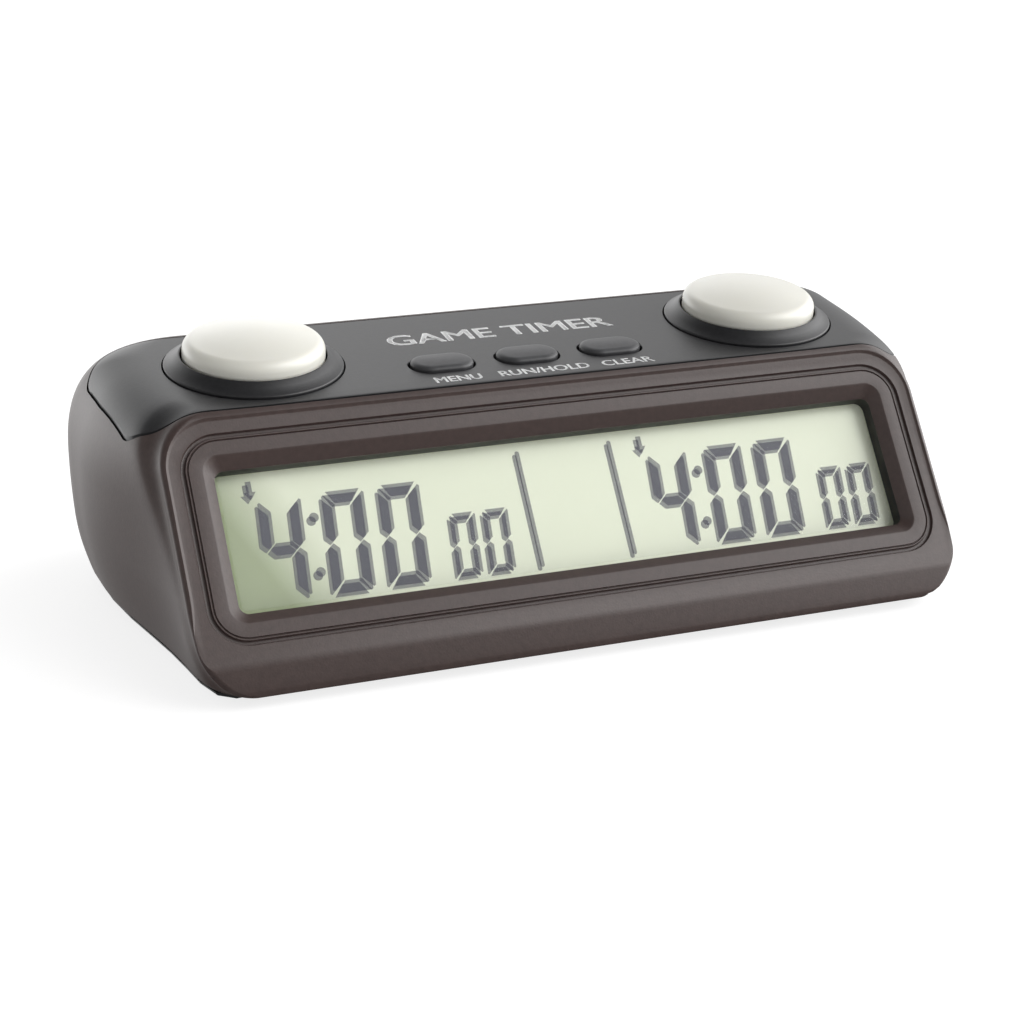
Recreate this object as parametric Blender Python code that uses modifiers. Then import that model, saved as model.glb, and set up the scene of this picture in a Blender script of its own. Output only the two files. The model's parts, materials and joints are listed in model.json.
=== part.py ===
"""Digital chess clock: a moulded case with two big turn buttons, three function keys and a wide LCD.

Every sub-part is its own object. All dimensions are in millimetres and are scaled to metres when a
mesh is made. Three frames are used:
  case frame   x right, y back, z up, origin at the middle of the display window
  front frame  an empty on the leaning front face: x right, y up the face, z out of the face
  top frame    an empty on the tilted top face: x right, y back along the face, z out of the face
"""
import math

import bmesh
import bpy
from mathutils import Matrix, Vector

MM = 0.001
CLEARANCE = 0.3                  # gap between neighbouring solids

# Case
WINDOW_HEIGHT = 25.0             # middle of the window above the table
WINDOW_Y = -30.9                 # middle of the window from the middle of the case
LEAN = math.radians(35.7)        # the front face leans back
TILT = math.radians(7.4)         # the top face rises towards the back
EDGE_Y, EDGE_Z = 12.98, 18.06    # where the front face meets the top face
TOP_BACK_Y = 48.6                # back edge of the top face
BASE_Z = -23.0                   # lower edge of the case wall
WALL = 2.4
FRAME_HALF, FRAME_CORNER = 71.6, 9.2        # display frame on the front face
FRAME_LOW_CORNER, FRAME_LOW_START = 9.5, 18.2
FULL_HALF, FULL_Z = 79.0, 2.0    # widest place of the case
SHOULDER_HALF = 65.2             # flat half width of the top face
BACK_Y, BACK_LOW_Z = 76.5, -16.0
APRON_Z, APRON_LEAN, APRON_BEND = -15.2, math.radians(24.0), 2.4

# Display window
WINDOW_HALF = (64.5, 14.6)
WINDOW_CORNER = 2.9
CHAMFER = 2.1
GROOVE = (2.4, 3.8, 0.5)         # inner and outer distance from the window, depth
DISPLAY_HALF = (62.0, 12.1)

# Buttons on the top face
RING_Y, BUTTON_X = 31.4, 48.8
COLLAR_RADIUS, COLLAR_SEAM = 15.7, 0.25
FLANGE_RADIUS = 16.4
CAP_RADIUS = 12.6
CUP_FLOOR, CUP_WALL = -7.0, 1.2
STEM_RADIUS, STEM_END = 2.9, -10.0

# Function keys
KEY_X, KEY_Y = 16.4, -8.0
KEY_SIZE = (11.6, 7.1)
KEY_GAP = 0.4
KEY_END = -11.4

# Top cover, boards and base
COVER_THICK = 1.3
LEDGE_WIDTH = 1.5
KEY_BOARD_TOP = -16.2
BOARD_THICK = 1.6
SWITCH_TOP = -12.3
POSTS = [(x, y) for x in (-29.0, 29.0) for y in (-9.5, 4.5)]
FLOOR_LOW, FLOOR_STEP, FLOOR_TOP = -24.0, -23.3, -22.2
FLOOR_FRONT = 3.3                # the floor's front edge sits behind the foot of the front face
FEET = [(-60.0, -1.0), (60.0, -1.0), (-46.0, 63.0), (46.0, 63.0)]
CASE_SCREWS = [(-65.5, 20.0), (65.5, 20.0), (-61.0, 54.0), (61.0, 54.0)]
BAY_Y, BAY_HALF, BAY_TOP = 44.0, (27.8, 8.4), -7.0
CELL_Z, CELL_RADIUS = -14.8, 7.1
DOOR_THICK = 1.6
BUZZER = (-42.0, 10.0)
SLIDER = (42.0, 10.0)

COLOURS = {                      # base colour, roughness, metallic
    "brown_plastic": ((0.105, 0.078, 0.072), 0.55, 0.0),
    "black_plastic": ((0.030, 0.030, 0.033), 0.50, 0.0),
    "cream_plastic": ((0.790, 0.770, 0.690), 0.35, 0.0),
    "key_rubber": ((0.045, 0.045, 0.050), 0.60, 0.0),
    "clear_window": ((0.900, 0.920, 0.900), 0.05, 0.0),
    "lcd_glass": ((0.640, 0.700, 0.520), 0.20, 0.0),
    "reflector": ((0.720, 0.740, 0.700), 0.35, 0.2),
    "elastomer": ((0.150, 0.150, 0.160), 0.70, 0.0),
    "circuit_board": ((0.030, 0.190, 0.080), 0.45, 0.0),
    "chip_resin": ((0.015, 0.015, 0.016), 0.35, 0.0),
    "bright_metal": ((0.700, 0.700, 0.690), 0.28, 1.0),
    "spring_steel": ((0.520, 0.520, 0.520), 0.30, 1.0),
    "screw_steel": ((0.450, 0.450, 0.460), 0.32, 1.0),
    "capacitor_sleeve": ((0.040, 0.060, 0.180), 0.40, 0.0),
    "buzzer_plastic": ((0.020, 0.020, 0.022), 0.45, 0.0),
    "battery_wrap": ((0.120, 0.220, 0.420), 0.35, 0.1),
    "foot_rubber": ((0.040, 0.040, 0.042), 0.85, 0.0),
    "ribbon_grey": ((0.420, 0.420, 0.430), 0.50, 0.0),
    "red_wire": ((0.520, 0.030, 0.025), 0.45, 0.0),
    "black_wire": ((0.020, 0.020, 0.020), 0.45, 0.0),
}


# ---------------------------------------------------------------- scene and object helpers

def clear_scene():
    for item in list(bpy.data.objects):
        bpy.data.objects.remove(item, do_unlink=True)


def new_collection(name):
    collection = bpy.data.collections.new(name)
    bpy.context.scene.collection.children.link(collection)
    return collection


def material(name):
    found = bpy.data.materials.get(name)
    if found:
        return found
    colour, roughness, metallic = COLOURS[name]
    made = bpy.data.materials.new(name)
    made.use_nodes = True
    shader = made.node_tree.nodes["Principled BSDF"]
    shader.inputs["Base Color"].default_value = (*colour, 1.0)
    shader.inputs["Roughness"].default_value = roughness
    shader.inputs["Metallic"].default_value = metallic
    made.diffuse_color = (*colour, 1.0)
    return made


def place(name, mesh, look, parent, at=(0, 0, 0), turn=(0, 0, 0)):
    """Link a mesh as a named part, or as a cutter when look is None."""
    item = bpy.data.objects.new(name, mesh)
    (PARTS if look else CUTTERS).objects.link(item)
    item.parent = parent
    item.location = Vector(at) * MM
    item.rotation_euler = turn
    if look:
        mesh.materials.clear()
        mesh.materials.append(material(look))
    else:
        item.hide_render = True
        item.display_type = "WIRE"
    return item


def empty(name, at, turn):
    item = bpy.data.objects.new(name, None)
    PARTS.objects.link(item)
    item.location = Vector(at) * MM
    item.rotation_euler = turn
    return item


def combine(item, other, operation="DIFFERENCE"):
    step = item.modifiers.new(operation.lower(), "BOOLEAN")
    step.operation = operation
    step.object = other


def cut(item, *cutters):
    for cutter in cutters:
        combine(item, cutter)


def join(item, *others):
    for other in others:
        combine(item, other, "UNION")


def smooth(item, angle=35.0):
    item.data.shade_smooth()
    item.data.set_sharp_from_angle(angle=math.radians(angle))
    return item


def baked(item):
    """The item's evaluated mesh, for copies that share one finished shape."""
    bpy.context.view_layer.update()
    graph = bpy.context.evaluated_depsgraph_get()
    return bpy.data.meshes.new_from_object(item.evaluated_get(graph))


# ---------------------------------------------------------------- outlines

def rounded(corners, steps=6):
    """A closed outline through (x, y, radius) corners, each corner an arc."""
    points = []
    count = len(corners)
    for i, (x, y, radius) in enumerate(corners):
        here = Vector((x, y))
        before = (Vector(corners[i - 1][:2]) - here).normalized()
        after = (Vector(corners[(i + 1) % count][:2]) - here).normalized()
        half = before.angle(after) / 2
        middle = here + (before + after).normalized() * radius / math.sin(half)
        reach = radius / math.tan(half)
        start, end = here + before * reach - middle, here + after * reach - middle
        turn = start.angle_signed(end)
        for k in range(steps + 1):
            arm = start.copy()
            arm.rotate(Matrix.Rotation(-turn * k / steps, 2))
            points.append(tuple(middle + arm))
    return points


def rounded_box(half_x, half_y, radius, steps=6, x=0.0, y=0.0):
    return rounded([(x - half_x, y - half_y, radius), (x + half_x, y - half_y, radius),
                    (x + half_x, y + half_y, radius), (x - half_x, y + half_y, radius)], steps)


def window_outline(grow, steps=6):
    return rounded_box(WINDOW_HALF[0] + grow, WINDOW_HALF[1] + grow, max(WINDOW_CORNER + grow, 0.5), steps)


def stadium(length, width, steps=6):
    return rounded_box(length / 2, width / 2, width / 2 - 0.01, steps)


def circle(radius, steps=36, x=0.0, y=0.0):
    angles = [2 * math.pi * k / steps for k in range(steps)]
    return [(x + radius * math.cos(a), y + radius * math.sin(a)) for a in angles]


def cover_outline(grow, steps=6):
    """Plan of the black top cover in the case frame."""
    front, back = 13.4 - grow, 47.9 + grow
    tip, side = (73.9 + grow, 14.1 - grow, 3.4 + grow), (75.9 + grow, 34.0, 30.0)
    right = [(52.0, front, 40.0), tip, side, (76.2 + grow, back, 5.0 + grow)]
    left = [(-x, y, radius) for x, y, radius in reversed(right)]
    return rounded(left[2:] + right + left[:2], steps)


def inset(points, distance):
    """Move each point of a closed counter-clockwise outline inwards."""
    moved = []
    for i, (x, y) in enumerate(points):
        x0, y0 = points[i - 1]
        x1, y1 = points[(i + 1) % len(points)]
        normal = Vector((y0 - y1, x1 - x0)).normalized()
        moved.append((x + normal.x * distance, y + normal.y * distance))
    return moved


# ---------------------------------------------------------------- solids

def plate(name, outlines, low, high, look, parent, at=(0, 0, 0), turn=(0, 0, 0)):
    """A flat solid from an outer outline and any inner ones, between two heights."""
    curve = bpy.data.curves.new(name, "CURVE")
    curve.dimensions = "2D"
    curve.fill_mode = "BOTH"
    curve.extrude = (high - low) / 2 * MM
    for outline in outlines:
        spline = curve.splines.new("POLY")
        spline.points.add(len(outline) - 1)
        spline.use_cyclic_u = True
        for point, (x, y) in zip(spline.points, outline):
            point.co = (x * MM, y * MM, 0, 1)
    source = bpy.data.objects.new(name + "_outline", curve)
    CUTTERS.objects.link(source)
    mesh = baked(source)
    bpy.data.objects.remove(source, do_unlink=True)
    mesh.transform(Matrix.Translation((0, 0, (low + high) / 2 * MM)))
    tidy = bmesh.new()
    tidy.from_mesh(mesh)
    bmesh.ops.remove_doubles(tidy, verts=tidy.verts, dist=1e-6)
    bmesh.ops.recalc_face_normals(tidy, faces=tidy.faces)
    tidy.to_mesh(mesh)
    tidy.free()
    return place(name, mesh, look, parent, at, turn)


def loft(name, loops, look, parent, at=(0, 0, 0), open_start=False):
    """A solid through closed loops of equal point count, given from the lowest to the highest."""
    count = len(loops[0])
    shape = bmesh.new()
    rows = [[shape.verts.new(Vector(point) * MM) for point in loop] for loop in loops]
    for low, high in zip(rows, rows[1:]):
        for i in range(count):
            j = (i + 1) % count
            shape.faces.new((low[i], low[j], high[j], high[i]))
    shape.faces.new(rows[-1])
    if not open_start:
        shape.faces.new(reversed(rows[0]))
    mesh = bpy.data.meshes.new(name)
    shape.to_mesh(mesh)
    shape.free()
    return place(name, mesh, look, parent, at)


def level_loops(sections):
    """Loops for loft from (outline, height) pairs."""
    return [[(x, y, height) for x, y in outline] for outline, height in sections]


def box(name, size, look, parent, at=(0, 0, 0), bevel=0.0, turn=(0, 0, 0)):
    shape = bmesh.new()
    bmesh.ops.create_cube(shape, size=1.0)
    bmesh.ops.scale(shape, vec=Vector(size) * MM, verts=shape.verts)
    mesh = bpy.data.meshes.new(name)
    shape.to_mesh(mesh)
    shape.free()
    item = place(name, mesh, look, parent, at, turn)
    if bevel:
        edge = item.modifiers.new("edges", "BEVEL")
        edge.width = bevel * MM
        edge.segments = 2
    return item


def rod(name, radius, low, high, look, parent, at=(0, 0, 0), steps=24, turn=(0, 0, 0)):
    shape = bmesh.new()
    bmesh.ops.create_cone(shape, cap_ends=True, segments=steps, radius1=radius * MM,
                          radius2=radius * MM, depth=(high - low) * MM)
    bmesh.ops.translate(shape, vec=(0, 0, (low + high) / 2 * MM), verts=shape.verts)
    mesh = bpy.data.meshes.new(name)
    shape.to_mesh(mesh)
    shape.free()
    return smooth(place(name, mesh, look, parent, at, turn))


def turned(name, profile, look, parent, at=(0, 0, 0), steps=28, closed=False, turn=(0, 0, 0)):
    """A turned solid. The (radius, height) profile runs down its outer side."""
    mesh = bpy.data.meshes.new(name)
    edges = [(i, i + 1) for i in range(len(profile) - 1)]
    if closed:
        edges.append((len(profile) - 1, 0))
    mesh.from_pydata([(radius * MM, 0, height * MM) for radius, height in profile], edges, [])
    item = place(name, mesh, look, parent, at, turn)
    lathe = item.modifiers.new("lathe", "SCREW")
    lathe.steps = lathe.render_steps = steps
    lathe.use_merge_vertices = True
    lathe.merge_threshold = 1e-6
    return item


def wire(name, points, radius, look, parent, at=(0, 0, 0), turn=(0, 0, 0), sides=2):
    curve = bpy.data.curves.new(name, "CURVE")
    curve.dimensions = "3D"
    curve.bevel_depth = radius * MM
    curve.bevel_resolution = sides
    curve.use_fill_caps = True
    spline = curve.splines.new("POLY")
    spline.points.add(len(points) - 1)
    for point, place_at in zip(spline.points, points):
        point.co = (*(Vector(place_at) * MM), 1)
    return place(name, curve, look, parent, at, turn)


def coil(radius, low, high, turns, per_turn=9, end_radius=None):
    """Points of a compression spring along z, optionally tapering to another radius."""
    steps = int(turns * per_turn)
    end_radius = radius if end_radius is None else end_radius
    points = []
    for k in range(steps + 1):
        part = k / steps
        angle = 2 * math.pi * turns * part
        r = radius + (end_radius - radius) * part
        points.append((r * math.cos(angle), r * math.sin(angle), low + (high - low) * part))
    return points


def smooth_route(knots, per_leg=4):
    """Points on a Catmull-Rom curve through the knots."""
    ends = [knots[0], *knots, knots[-1]]
    points = []
    for a, b, c, d in zip(ends, ends[1:], ends[2:], ends[3:]):
        a, b, c, d = map(Vector, (a, b, c, d))
        for k in range(per_leg):
            t = k / per_leg
            points.append(0.5 * (2 * b + (c - a) * t + (2 * a - 5 * b + 4 * c - d) * t ** 2
                                 + (3 * b - a - 3 * c + d) * t ** 3))
    return [*points, Vector(knots[-1])]


# ---------------------------------------------------------------- the case surface

def ease(t):
    t = min(max(t, 0.0), 1.0)
    return t * t * (3 - 2 * t)


def top_z(y):
    return EDGE_Z + math.tan(TILT) * (min(y, TOP_BACK_Y) - EDGE_Y)


def front_y(z):
    """The front skin in side view: the leaning face, then a steeper apron below it."""
    if z >= APRON_Z:
        return math.tan(LEAN) * z
    fall = APRON_Z - z
    steep, steeper = math.tan(LEAN), math.tan(APRON_LEAN)
    bent = min(fall, APRON_BEND)
    bend = steep * bent - (steep - steeper) * bent ** 2 / (2 * APRON_BEND)
    return steep * APRON_Z - bend - steeper * (fall - bent)


def back_y(z):
    """The back skin in side view: upright at the base and sloping in to the top face."""
    rise = min(max((z - BACK_LOW_Z) / (top_z(TOP_BACK_Y) - BACK_LOW_Z), 0.0), 1.0)
    return TOP_BACK_Y + (BACK_Y - TOP_BACK_Y) * (1 - rise ** 1.3) ** (1 / 1.3)


def back_corner(z):
    return 8.0 + 16.0 * ease((top_z(TOP_BACK_Y) - z) / 32.0)


def arc_fall(radius, fall):
    """How far a quarter arc of this radius has still to go sideways after falling this far."""
    rest = min(max(radius - fall, 0.0), radius)
    return radius - math.sqrt(radius ** 2 - rest ** 2)


def frame_half(y, z):
    """Half width of the display frame's outline, carried straight back."""
    drop = top_z(y) - z
    draft = 1.3 * max((-10.0 - z) / 13.0, 0.0) ** 1.5
    return FRAME_HALF - draft - arc_fall(FRAME_CORNER, drop * 1.15)


def full_half(y, z):
    """Half width of the case behind the frame: a soft shoulder over a bulging side."""
    if z < FULL_Z:
        return FULL_HALF - 4.4 * ((FULL_Z - z) / 26.0) ** 2.2
    drop, whole = top_z(y) - z, top_z(y) - FULL_Z
    part = min(max(1 - drop / whole, 0.0), 1.0)
    return SHOULDER_HALF + (FULL_HALF - SHOULDER_HALF) * (1 - part ** 2.3) ** (1 / 2.3)


def half_width(y, z):
    depth = max(y * math.cos(LEAN) - z * math.sin(LEAN), 0.0)
    start = -8.0 * (z - BASE_Z) / 41.0
    flare = ease((y - start) / 45.0) * ease(depth / 5.0)
    low = max(-z / math.cos(LEAN) - FRAME_LOW_START, 0.0)
    low_corner = arc_fall(FRAME_LOW_CORNER, FRAME_LOW_CORNER - low) * math.exp(-depth / 4.0)
    valley = 0.5 * math.exp(-((depth - 3.0) / 2.0) ** 2)
    narrow = frame_half(y, z)
    return narrow + flare * (full_half(y, z) - narrow) - low_corner - valley


def case_ring(level, side_steps=9, corner_steps=6):
    """One closed outline of the case skin: level 0 is the lower edge, level 1 the top face."""
    def height(y):
        return BASE_Z + level * (top_z(y) - BASE_Z)

    start = 0.0
    for _ in range(8):
        start = front_y(height(start))
    rear_z = height(TOP_BACK_Y)
    rear, corner = back_y(rear_z), back_corner(rear_z)
    turn_y = rear - corner
    right = []
    for k in range(side_steps + 1):
        y = start + (turn_y - start) * (k / side_steps) ** 1.6
        right.append((half_width(y, height(y)), y))
    middle_x = right[-1][0] - corner
    for k in range(1, corner_steps + 1):
        angle = math.pi / 2 * k / corner_steps
        right.append((middle_x + corner * math.cos(angle), turn_y + corner * math.sin(angle)))
    outline = right + [(-x, y) for x, y in reversed(right)]
    return [(x, y, height(y)) for x, y in outline]


def case_levels():
    """Levels of the skin's rings, closer together over the shoulder."""
    drops = (45.5, 42.0, 38.6, 36.4, 31.3, 26.0, 20.0, 15.0, 11.0, 7.6, 5.0, 3.0, 1.4, 0.4, 0.0)
    return [1 - drop / drops[0] for drop in drops]


def case_skin(name):
    """The outer skin, open below, with a straight skirt past the lower edge."""
    rings = [case_ring(level) for level in case_levels()]
    skirt = [(x, y, BASE_Z - 5.0) for x, y, _ in rings[0]]
    return loft(name, [skirt, *rings], None, CASE, open_start=True)


def skin_layer(name, thickness):
    layer = case_skin(name)
    shell = layer.modifiers.new("wall", "SOLIDIFY")
    shell.thickness = thickness * MM
    shell.use_even_offset = True
    return layer


# ---------------------------------------------------------------- case parts

def case_core(name, depth):
    """The closed case pulled in by this depth."""
    rings = [case_ring(level) for level in case_levels()]
    skirt = [(x, y, BASE_Z - 5.0) for x, y, _ in rings[0]]
    core = loft(name, [skirt, *rings], None, CASE)
    pull = core.modifiers.new("pull_in", "DISPLACE")
    pull.mid_level = 0.0
    pull.strength = -depth * MM
    return core


def cover_prism(name, grow):
    return plate(name, [cover_outline(grow)], 4.0, 40.0, None, CASE)


def body_shell():
    body = skin_layer("body_shell", WALL)
    CUTTERS.objects.unlink(body)
    PARTS.objects.link(body)
    body.hide_render = False
    body.display_type = "TEXTURED"
    body.data.materials.append(material("brown_plastic"))
    cut(body, box("below_case", (200, 200, 20), None, CASE, (0, 30, BASE_Z - 10)))

    window = loft("window_cut", level_loops([
        (window_outline(-CHAMFER), -8.0), (window_outline(-CHAMFER), -CHAMFER),
        (window_outline(0.0), 0.0), (window_outline(0.0), 3.0)]), None, FRONT)
    inner, outer, depth = GROOVE
    groove = plate("groove_cut", [window_outline(outer), window_outline(inner)], -depth, 2.0, None, FRONT)
    recess = cover_prism("cover_recess", 0.15)
    cut(recess, case_core("below_cover", COVER_THICK + CLEARANCE))
    cut(body, window, groove, recess, cover_prism("cover_opening", -LEDGE_WIDTH))
    for side in (-1, 1):
        cut(body, rod(f"flange_way_{side}", FLANGE_RADIUS + 0.25, -4.0, -1.4, None, TOP,
                      (side * BUTTON_X, 0, 0), 36))

    core = case_core("boss_trim", 1.0)
    for k, (x, y) in enumerate(CASE_SCREWS):
        side = math.copysign(1.0, x)
        low, high = FLOOR_TOP + CLEARANCE, -6.0
        boss = rod(f"boss_{k}", 3.6, low, high, None, CASE, (x, y, 0))
        rib = box(f"rib_{k}", (16, 2.0, high - 3 - low), None, CASE, (x + 8 * side, y, (low + high - 3) / 2))
        join(boss, rib)
        combine(boss, core, "INTERSECT")
        join(body, boss)
        cut(body, rod(f"boss_hole_{k}", 1.6, BASE_Z - 1, -9.0, None, CASE, (x, y, 0), 16))
    return smooth(body)


def top_cover():
    cover = skin_layer("top_cover", COVER_THICK)
    CUTTERS.objects.unlink(cover)
    PARTS.objects.link(cover)
    cover.hide_render = False
    cover.display_type = "TEXTURED"
    cover.data.materials.append(material("black_plastic"))
    combine(cover, cover_prism("cover_shape", -0.15), "INTERSECT")
    for k, (x, y) in enumerate(POSTS):
        join(cover, rod(f"post_{k}", 2.5, KEY_BOARD_TOP + CLEARANCE, -0.6, None, TOP, (x, y, 0), 20))
        cut(cover, rod(f"post_hole_{k}", 1.2, KEY_BOARD_TOP - 1, -9.0, None, TOP, (x, y, 0), 12))
    for side in (-1, 1):
        cut(cover, rod(f"collar_hole_{side}", COLLAR_RADIUS + COLLAR_SEAM, -6, 6, None, TOP,
                       (side * BUTTON_X, 0, 0), 48))
    for k in (-1, 0, 1):
        hole = stadium(KEY_SIZE[0] + 2 * KEY_GAP, KEY_SIZE[1] + 2 * KEY_GAP)
        cut(cover, plate(f"key_hole_{k}", [hole], -5, 5, None, TOP, (k * KEY_X, KEY_Y, 0)))
    return smooth(cover)


def bottom_cover():
    front = front_y(BASE_Z) + FLOOR_FRONT
    outline = [(x, max(y, front)) for x, y, _ in case_ring(0.0)]
    edge, lip = inset(outline, 0.5), inset(outline, WALL + 0.7)
    cover = loft("bottom_cover", level_loops([
        (inset(outline, 0.9), FLOOR_LOW), (edge, FLOOR_LOW + 0.4), (edge, FLOOR_STEP),
        (lip, FLOOR_STEP), (lip, FLOOR_TOP)]), "black_plastic", CASE)
    height = BAY_TOP + 1.4 - (FLOOR_TOP - 0.5)
    join(cover, box("bay_outside", (2 * BAY_HALF[0] + 2.8, 2 * BAY_HALF[1] + 2.8, height), None, CASE,
                    (0, BAY_Y, FLOOR_TOP - 0.5 + height / 2)))
    cut(cover, box("bay_inside", (2 * BAY_HALF[0], 2 * BAY_HALF[1], 20.0), None, CASE,
                   (0, BAY_Y, BAY_TOP - 10.0)))
    for k, (x, y) in enumerate(CASE_SCREWS):
        cut(cover, rod(f"screw_way_{k}", 1.7, -26, -20, None, CASE, (x, y, 0), 16),
            rod(f"head_way_{k}", 3.1, -26, -23.0, None, CASE, (x, y, 0), 20))
    for k, (x, y) in enumerate(FEET):
        cut(cover, rod(f"foot_seat_{k}", 4.9, -26, -23.4, None, CASE, (x, y, 0), 24))
    x, y = BUZZER
    for k in range(7):
        spread = 0.0 if k == 6 else 3.2
        hole_x, hole_y = x + spread * math.cos(k * math.pi / 3), y + spread * math.sin(k * math.pi / 3)
        cut(cover, rod(f"sound_hole_{k}", 0.9, -26, -20, None, CASE, (hole_x, hole_y, 0), 10))
    cut(cover, box("slider_slot", (6.6, 3.2, 8.0), None, CASE, (SLIDER[0], SLIDER[1], -23)))
    return cover


# ---------------------------------------------------------------- display parts

def display_parts():
    half_x, half_y = DISPLAY_HALF
    frame_front, frame_back = -WALL - CLEARANCE, -4.5
    frame = plate("display_frame", [rounded_box(66.8, 16.9, 2.0, 4), rounded_box(half_x, half_y, 1.0, 4)],
                  frame_back, frame_front, "black_plastic", FRONT)
    join(frame, plate("frame_skirt", [rounded_box(66.8, 16.9, 2.0, 4), rounded_box(65.6, 15.7, 1.0, 4)],
                      -9.1, frame_back + 0.3, None, FRONT))
    plate("display_window", [rounded_box(half_x - 0.4, half_y - 0.4, 0.7, 4)], -4.4, -3.5,
          "clear_window", FRONT)
    plate("lcd_glass", [rounded_box(64.8, 15.0, 0.4, 2)], -7.0, frame_back - CLEARANCE, "lcd_glass", FRONT)
    plate("lcd_reflector", [rounded_box(63.0, 12.4, 0.4, 2)], -7.6, -7.3, "reflector", FRONT)
    for name, v in (("contact_strip_top", 13.8), ("contact_strip_bottom", -13.8)):
        box(name, (118.0, 1.8, 1.8), "elastomer", FRONT, (0, v, -8.2))
    plate("main_board", [rounded_box(66.0, 16.4, 1.0, 2)], -9.4 - BOARD_THICK, -9.4, "circuit_board", FRONT)


def main_board_pieces():
    back = -9.4 - BOARD_THICK - CLEARANCE
    turned("processor_blob", [(0, back), (5.8, back), (6.2, back - 0.5), (5.0, back - 1.3), (2.6, back - 1.8),
                              (0, back - 1.9)], "chip_resin", FRONT, (-20, 2, 0), 28)
    turned("crystal_can", [(0, 4.1), (1.2, 4.1), (1.5, 3.8), (1.5, -3.8), (1.2, -4.1), (0, -4.1)],
           "bright_metal", FRONT, (4, -6, back - 1.5), 16, turn=(0, math.pi / 2, 0))
    for k, u in enumerate((24.0, 31.0), start=1):
        turned(f"capacitor_{k}", [(0, back), (2.3, back), (2.5, back - 0.3), (2.5, back - 6.7), (2.3, back - 7.0),
                                  (0, back - 7.0)], "capacitor_sleeve", FRONT, (u, 3, 0), 20)


# ---------------------------------------------------------------- buttons and keys

def turn_button(side, label):
    at = (side * BUTTON_X, 0, 0)
    cup = CAP_RADIUS + 0.5
    low = CUP_FLOOR - CUP_WALL
    smooth(turned(f"button_collar_{label}", [
        (cup, 2.1), (cup + 0.3, 2.2), (15.3, 0.6), (COLLAR_RADIUS, 0.3), (COLLAR_RADIUS, -1.6), (FLANGE_RADIUS, -1.6),
        (FLANGE_RADIUS, -2.8), (cup + 1.45, -2.8), (cup + 1.45, low), (STEM_RADIUS + 0.4, low),
        (STEM_RADIUS + 0.4, CUP_FLOOR), (cup, CUP_FLOOR)], "black_plastic", TOP, at, closed=True))

    clip_top = low - CLEARANCE
    dome = [(11.2 * k / 4, 6.6 - 1.75 * (k / 4) ** 2) for k in range(4)]
    shoulder = [(11.2 + 1.4 * math.sin(a), 3.45 + 1.4 * math.cos(a))
                for a in (math.pi / 6 * k for k in range(4))]
    smooth(turned(f"button_cap_{label}", [
        *dome, *shoulder, (CAP_RADIUS, -2.9), (11.3, -2.9), (11.3, 2.9), (10.0, 4.0), (7.0, 4.4), (7.0, 2.6),
        (STEM_RADIUS, 2.6),
        (STEM_RADIUS, clip_top + 0.1), (2.2, clip_top + 0.1), (2.2, clip_top - 0.7),
        (STEM_RADIUS, clip_top - 0.7), (STEM_RADIUS, STEM_END), (0, STEM_END)],
        "cream_plastic", TOP, at))

    clip = turned(f"button_clip_{label}", [(4.4, clip_top), (4.4, clip_top - 0.6), (2.5, clip_top - 0.6),
                                           (2.5, clip_top)], "spring_steel", TOP, at, 24, closed=True)
    cut(clip, box(f"clip_mouth_{label}", (3.4, 6, 2), None, TOP, (at[0], 3.5, clip_top - 0.3)))
    wire(f"button_spring_{label}", coil(5.6, CUP_FLOOR + 0.8, 2.0, 4.5), 0.4, "spring_steel", TOP, at)


def function_key(name, x):
    length, width = KEY_SIZE
    sections = [(stadium(3.6, 3.6), KEY_END), (stadium(3.6, 3.6), -2.6), (stadium(14.0, 9.6), -2.6),
                (stadium(14.0, 9.6), -1.7), (stadium(length, width), -1.7), (stadium(length, width), 0.2),
                (stadium(length - 0.7, width - 0.7), 0.65), (stadium(length - 2.6, width - 2.6), 0.95),
                (stadium(length - 5.6, width - 5.6), 1.05)]
    return smooth(loft(name, level_loops(sections), "key_rubber", TOP, (x, KEY_Y, 0)))


def key_board():
    board = [rounded_box(57.0, 10.25, 1.2, 3, y=-2.25), *[circle(1.3, 14, x, y) for x, y in POSTS]]
    plate("key_board", board, KEY_BOARD_TOP - BOARD_THICK, KEY_BOARD_TOP, "circuit_board", TOP)
    spots = [("mode", -KEY_X, KEY_Y), ("start_pause", 0.0, KEY_Y), ("reset", KEY_X, KEY_Y),
             ("left", -BUTTON_X, 0.0), ("right", BUTTON_X, 0.0)]
    low = KEY_BOARD_TOP + CLEARANCE
    for label, x, y in spots:
        switch = box(f"switch_{label}", (6.0, 6.0, 2.8), "chip_resin", TOP, (x, y, low + 1.4))
        join(switch, rod(f"switch_button_{label}", 1.75, -1.0, SWITCH_TOP - low - 1.4, None, TOP,
                         (x, y, low + 1.4), 16))


# ---------------------------------------------------------------- fasteners, feet and battery

def screw_mesh(head_radius, head, shank_radius, length, name):
    """A pan head with a cross recess over a plain shank, head down and shank along +z."""
    profile = [(0, length), (shank_radius, length - shank_radius), (shank_radius, 0), (head_radius, 0),
               (head_radius, -head * 0.55), (head_radius * 0.75, -head), (0, -head)]
    model = turned(name, profile, None, None, steps=12)
    for turn in (0, math.pi / 2):
        cut(model, box(f"{name}_slot", (head_radius * 1.2, head_radius * 0.26, head), None, None,
                       (0, 0, -head), turn=(0, 0, turn)))
    return baked(model)


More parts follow.
